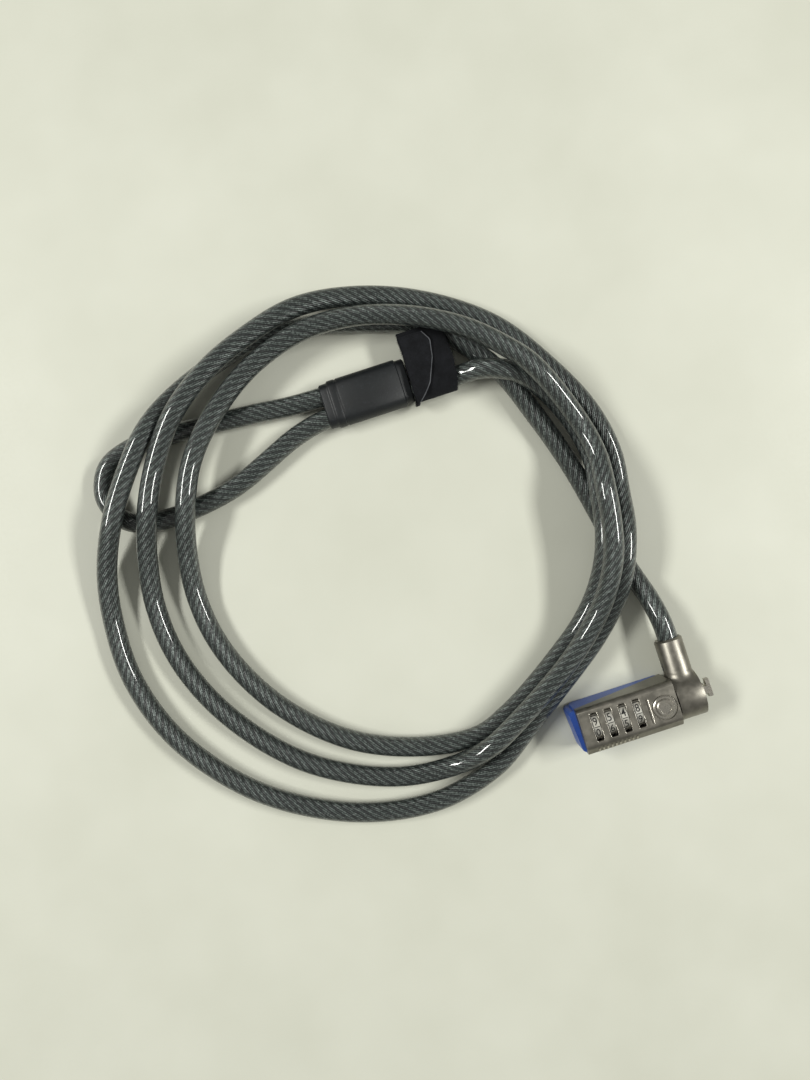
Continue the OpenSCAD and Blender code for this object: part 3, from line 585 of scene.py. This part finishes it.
# %% Loop pile and thread
def pile(name, colour, lint, size_mm, relief_mm):
    """Matted loops: fine noise relief, small change of tone, and sheen."""
    material, tree, shader, space = finish_named(
        name, Roughness=0.95, Sheen_Weight=0.15, Sheen_Roughness=0.6, Sheen_Tint=tone("#5A5D66"),
        Specular_IOR_Level=0.2)
    fine = add(tree, "TexNoise", {"Vector": space},
               {"Scale": 1 / (size_mm * MM), "Detail": 6.0, "Roughness": 0.7})
    mats = add(tree, "TexNoise", {"Vector": space},
               {"Scale": 1 / (3.0 * MM), "Detail": 4.0, "Roughness": 0.55})
    both = add(tree, "Math", {0: fine, 1: mats}, operation="MULTIPLY")
    connect(tree, shader, {
        "Base Color": add(tree, "ValToRGB", {"Fac": both}, stops=[(0.12, tone(colour)), (0.5, tone(lint))]),
        "Normal": add(tree, "Bump", {"Height": fine}, {"Distance": relief_mm * MM, "Strength": 0.8})})
    return material


loop_pile = pile("black loop pile", "#08090B", "#1A1B1F", 0.35, 0.3)
hook_tape = pile("black hook tape", "#0A0B0D", "#1D1E22", 0.6, 0.25)
grey_thread = pile("grey binding thread", "#3E4044", "#6B6D70", 0.3, 0.1)
for piece, material in ((strap_band, loop_pile), (strap_flap, hook_tape), (fuzz, loop_pile),
                        (edge_thread, grey_thread)):
    paint(piece, material)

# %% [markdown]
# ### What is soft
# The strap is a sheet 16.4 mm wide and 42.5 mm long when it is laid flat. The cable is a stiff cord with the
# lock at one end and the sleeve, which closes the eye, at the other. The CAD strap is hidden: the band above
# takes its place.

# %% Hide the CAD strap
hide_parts("strap")

# %% [markdown]
# ## Digits on the dials
# Ten digits go round each wheel, 36 degrees apart, with a bar between neighbours. Two of them
# show in a window. A digit starts as flat type, is sliced into strips, and is then rolled round the
# wheel: its height becomes an angle. They stand a hair proud, as printed paint does.

# %% Roll flat type round a wheel
dials = 4
digits_round = 10
digit_height, digit_narrowing = 2.7 * MM, 0.86
paint_t = 0.025 * MM
digit_pitch = math.radians(360 / digits_round)


def flat_digit(digit):
    """Points and faces of one digit, centred, at the digits' height, cut into level strips. The type is
    made a little bolder than it comes, as the real figures are."""
    type_data = bpy.data.curves.new("digit", "FONT")
    type_data.body = str(digit)
    type_data.offset = 0.008
    typed = bpy.data.objects.new("digit", type_data)
    bpy.context.collection.objects.link(typed)
    shape = bmesh.new()
    shape.from_mesh(typed.to_mesh())
    bpy.data.objects.remove(typed)
    for level in np.linspace(0.02, 0.7, 12):
        bmesh.ops.bisect_plane(shape, geom=[*shape.verts, *shape.edges, *shape.faces],
                               plane_co=(0, float(level), 0), plane_no=(0, 1, 0))
    shape.verts.index_update()
    points = np.array([v.co[:] for v in shape.verts])
    faces = [[v.index for v in f.verts] for f in shape.faces]
    shape.free()
    low, high = points.min(axis=0), points.max(axis=0)
    points = (points - (low + high) / 2) * digit_height / (high[1] - low[1])
    points[:, 0] *= digit_narrowing
    return points, faces


def rolled(points, radius, centre, turned):
    """Flat points rolled on a cylinder along X: with angle = turned + y / radius, counted from the top,
    a point lands at centre + (x, radius * sin(angle), radius * cos(angle))."""
    angle = turned + points[:, 1] / radius
    return np.stack([centre[0] + points[:, 0], centre[1] + radius * np.sin(angle),
                     centre[2] + radius * np.cos(angle)], axis=1)


def bar(width, height, steps=3):
    """A flat rectangle as a grid of quads, centred."""
    x, y = np.meshgrid([-width / 2, width / 2], np.linspace(-height / 2, height / 2, steps))
    flat = np.stack([x.ravel(), y.ravel(), np.zeros(x.size)], axis=1)
    return flat, grid_faces(steps, 2, False).tolist()


shapes = [flat_digit(d) for d in range(digits_round)]
upper_digits = (9, 5, 4, 8)
for dial in range(dials):
    low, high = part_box(f"dial_wheel_{dial + 1}")
    centre = [(low[0] + high[0]) / 2, (low[1] + high[1]) / 2, (low[2] + high[2]) / 2]
    radius = (high[2] - low[2]) / 2 + paint_t
    points, faces, start = [], [], 0
    for place in range(digits_round):
        digit = (upper_digits[dial] + place) % digits_round
        turned = digit_pitch * (0.5 - place)
        marks = [(*shapes[digit], turned, 0), (*bar(2.0 * MM, 0.22 * MM), turned - digit_pitch / 2, 0),
                 (*bar(0.2 * MM, 3.3 * MM, 7), turned, -1.02 * MM)]
        for flat, flat_faces, angle, shift in marks:
            points.append(rolled(flat + [shift, 0, 0], radius, centre, angle))
            faces += [[k + start for k in face] for face in flat_faces]
            start += len(flat)
    printed = piece_from(f"printed_digits_{dial + 1}", np.concatenate(points), faces, f"dial_{dial + 1}")
    paint(printed, digit_paint)
print("digits per wheel:", len(shapes))

# %% [markdown]
# ## The lock's castings
# The CAD shapes are exact but their edges are knife sharp, and a real casting's are not. A narrow
# bevel on each outside edge catches the light. The bevel is a modifier, so the frame's mesh stays as it is.


# %% Edges and finishes of the CAD parts
def rounded_edges(name, width_mm):
    """Joins a CAD node's loose triangles and rounds its sharp edges by modifiers alone."""
    node = nodes[name]
    weld = node.modifiers.new("weld", "WELD")
    weld.merge_threshold = 0.002 * MM
    bevel = node.modifiers.new("edges", "BEVEL")
    bevel.width = width_mm * MM
    bevel.segments = 2
    bevel.limit_method = "ANGLE"
    bevel.angle_limit = math.radians(38)
    bevel.use_clamp_overlap = True


finishes = {
    satin_nickel: ["face_shell", "swivel_head"],
    turned_steel: ["grip_ribs", "button_bezel", "push_button", "nose_bush", "tbar_spindle", "button_spring",
                   "detent_spring"],
    dial_plating: [f"dial_wheel_{i + 1}" for i in range(dials)],
    rolled_brass: [f"tumbler_{i + 1}" for i in range(dials)],
    raw_zinc: ["inner_frame"],
    drawn_aluminium: ["loop_ferrule"],
    blue_abs: ["base_cover"],
    black_oxide: ["bush_circlip", "dial_axle", "case_screws", "button_stem", "crank_pin", "fence_bar",
                  "code_change_screw", "cable_crimp", "barrel_pin"],
}
for material, names in finishes.items():
    for name in names:
        for place in nodes[name].material_slots:
            place.material = material
for name, width_mm in {"face_shell": 0.28, "swivel_head": 0.35, "base_cover": 0.2, "push_button": 0.12,
                       "nose_bush": 0.12, "tbar_spindle": 0.15, "button_bezel": 0.1}.items():
    rounded_edges(name, width_mm)

# %% [markdown]
# ### Fillets and rims
# Where the barrel grows out of the head's ring, the casting has a soft fillet. Round the barrel, each
# line of the fillet goes from the ring's face to the barrel's side, and it leaves along one and arrives
# along the other. The windows have a fine raised rim, a thin tube along a rounded rectangle.

# %% Fillet between ring and barrel
head_r = (head_high[2] - head_low[2]) / 2
barrel_r, ring_half = 4.8 * MM, 4.6 * MM
ring_x0, ring_x1 = head_x * MM - ring_half, head_x * MM + ring_half
reach = 2.2 * MM
fillet_rows, fillet_sides = 12, 96
around = np.linspace(0, 2 * np.pi, fillet_sides, endpoint=False)


def ring_height(up):
    """How far along Y the ring's surface is at a height above the axis: sqrt(head_r ** 2 - up ** 2)."""
    return np.sqrt(np.maximum(head_r ** 2 - up ** 2, 0))


def fillet_point(out):
    """Points on the ring's surface at a distance out from the barrel's axis, for every angle."""
    x = np.clip(head_x * MM + out * np.cos(around), ring_x0 + 0.15 * MM, ring_x1 - 0.15 * MM)
    up = out * np.sin(around)
    return np.stack([x, ring_height(up) - 0.03 * MM, axis_z + up], axis=1)


# Three rings of points: on the head's round face, where face and barrel meet, and on the barrel's side.
# Each three of them steer a quadratic curve, (1 - s) ** 2 * foot + 2 * s * (1 - s) * corner + s ** 2 * top
foot = fillet_point(barrel_r + reach * 0.75)
corner = fillet_point(barrel_r)
corner[:, 0] = head_x * MM + barrel_r * np.cos(around)
top = np.stack([head_x * MM + (barrel_r - 0.02 * MM) * np.cos(around),
                ring_height(barrel_r * np.sin(around)) + reach, axis_z + barrel_r * np.sin(around)], axis=1)
steps = np.linspace(0, 1, fillet_rows)[:, None, None]
curve = (1 - steps) ** 2 * foot + 2 * steps * (1 - steps) * corner + steps ** 2 * top
fillet = piece_from("casting_fillet", curve.reshape(-1, 3),
                    grid_faces(fillet_rows, fillet_sides, True).tolist(), "cable_side")
paint(fillet, satin_nickel)


# %% Rims round the windows
def rim_line(x, y, z, half_x, half_y):
    """Rounded rectangle at height z, a superellipse: (half_x * |cos a| ** 0.22, half_y * |sin a| ** 0.22),
    with the signs of the cosine and the sine. The power sets how square the corners are."""
    count, power = 80, 0.22
    a = np.linspace(0, 2 * np.pi, count, endpoint=False)
    return np.stack([x + half_x * np.sign(np.cos(a)) * np.abs(np.cos(a)) ** power,
                     y + half_y * np.sign(np.sin(a)) * np.abs(np.sin(a)) ** power, np.full(count, z)], axis=1)


shell_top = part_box("face_shell")[1][2]
rim_half_x, rim_half_y, rim_r = 1.42 * MM, 5.1 * MM, 0.14 * MM
for dial in range(dials):
    low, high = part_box(f"dial_wheel_{dial + 1}")
    middle_x, middle_y = (low[0] + high[0]) / 2, (low[1] + high[1]) / 2
    line = rim_line(middle_x, middle_y, shell_top - 0.02 * MM, rim_half_x, rim_half_y)
    line = np.concatenate([line, line[:1]])
    rings = rings_round(line, rim_r, 8)
    rings[0] = rings[-1] = (rings[0] + rings[-1]) / 2
    rim = tube_piece(f"window_rim_{dial + 1}", rings, "lock_body", path_length(line))
    paint(rim, turned_steel)

# %% [markdown]
# ## Table and light
# The table is a pale, slightly green laminate with a faint mottle. Two soft lamps, one on each side and
# high up, give the pair of soft shadows beside the coil and the thin highlights on the jacket. They are
# wider than high, so that a highlight runs some way along the cable. A pale sky fills in the rest.


# %% The table
def pale_laminate():
    """Slow mottle 60 mm across in the colour, and a fine grain in the gloss and the relief."""
    material, tree, shader, space = finish_named("pale laminate", IOR=1.45)
    mottle = add(tree, "TexNoise", {"Vector": space},
                 {"Scale": 1 / (60.0 * MM), "Detail": 3.0, "Roughness": 0.55})
    grain = add(tree, "TexNoise", {"Vector": space},
                {"Scale": 1 / (1.2 * MM), "Detail": 3.0, "Roughness": 0.55})
    colours = [(0.3, tone("#C5C6B9")), (0.7, tone("#CDCEC2"))]
    connect(tree, shader, {
        "Base Color": add(tree, "ValToRGB", {"Fac": mottle}, stops=colours),
        "Roughness": add(tree, "ValToRGB", {"Fac": grain}, stops=[(0.3, grey(0.42)), (0.7, grey(0.55))]),
        "Normal": add(tree, "Bump", {"Height": grain}, {"Distance": 0.05 * MM, "Strength": 0.25})})
    return material


half_table = 1.5
table_mesh = bpy.data.meshes.new("table")
table_mesh.from_pydata([(-half_table, -half_table, 0), (half_table, -half_table, 0),
                        (half_table, half_table, 0), (-half_table, half_table, 0)], [], [(0, 1, 2, 3)])
table = bpy.data.objects.new("table", table_mesh)
bpy.context.collection.objects.link(table)
paint(table, pale_laminate())

# %% The lamps
coil_middle = np.array([camera_spot[0], camera_spot[1], 0])


def lamp(name, right, up, height, watts):
    """A soft rectangular lamp that faces the coil, right and up from its middle as the camera sees it."""
    data = bpy.data.lights.new(name, "AREA")
    data.shape = "RECTANGLE"
    data.size, data.size_y = lamp_width, lamp_height
    data.energy = watts
    data.color = tone("#FDFDF8")[:3]
    made = bpy.data.objects.new(name, data)
    spot = coil_middle + view_right * right + view_up * up + [0, 0, height]
    made.location = spot
    made.rotation_euler = Vector(coil_middle - spot).to_track_quat("-Z", "Y").to_euler()
    bpy.context.collection.objects.link(made)


lamp_width, lamp_height = 0.6, 0.18
lamp("lamp_right", 0.95, 0.16, 0.95, 13.4)
lamp("lamp_left", -0.95, 0.1, 0.98, 13.0)
world = bpy.data.worlds.new("sky")
world.use_nodes = True
world.node_tree.nodes["Background"].inputs["Color"].default_value = tone("#F3F3EC")
world.node_tree.nodes["Background"].inputs["Strength"].default_value = 0.3
bpy.context.scene.world = world
bpy.context.scene.view_settings.view_transform = "Standard"
